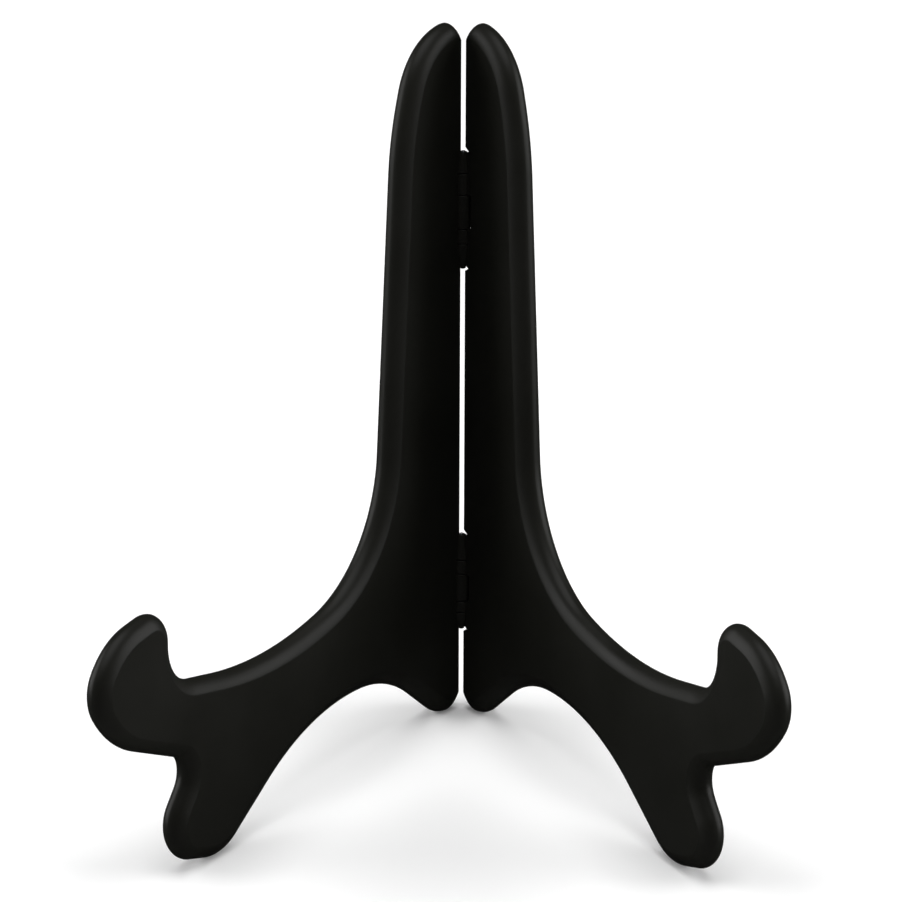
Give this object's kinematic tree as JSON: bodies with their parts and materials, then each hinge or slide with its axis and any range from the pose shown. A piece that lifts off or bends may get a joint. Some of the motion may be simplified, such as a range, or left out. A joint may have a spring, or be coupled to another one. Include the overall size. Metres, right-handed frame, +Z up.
{
  "type": "folding album stand",
  "caption": "Folding easel that props an album or plate: mirror-image leaves with hooked ledges, hinged at the back on pins so that they open to a V or fold flat.",
  "frame": {"origin": "on the table, under the middle of the stand's bounding box as it stands open", "axes": "+Z up, the album faces -Y, +X to the right of someone looking at the album"},
  "size_m": [0.2396, 0.212, 0.25],
  "materials": {
    "satin_black_plastic": "satin moulded black, fine even texture",
    "hinge_pin_steel": "plain drawn steel wire"
  },
  "bodies": {
    "left_leaf": {"left_leaf": "satin_black_plastic", "upper_hinge_pin": "hinge_pin_steel", "lower_hinge_pin": "hinge_pin_steel"},
    "right_leaf": {"right_leaf": "satin_black_plastic"}
  },
  "joints": [
    {"name": "fold", "type": "hinge", "parent": "left_leaf", "child": "right_leaf", "pos_m": [0, 0.06723, 0.00002], "axis": [0, 0.1392, 0.9903], "range_deg": [-63, 117]}
  ]
}
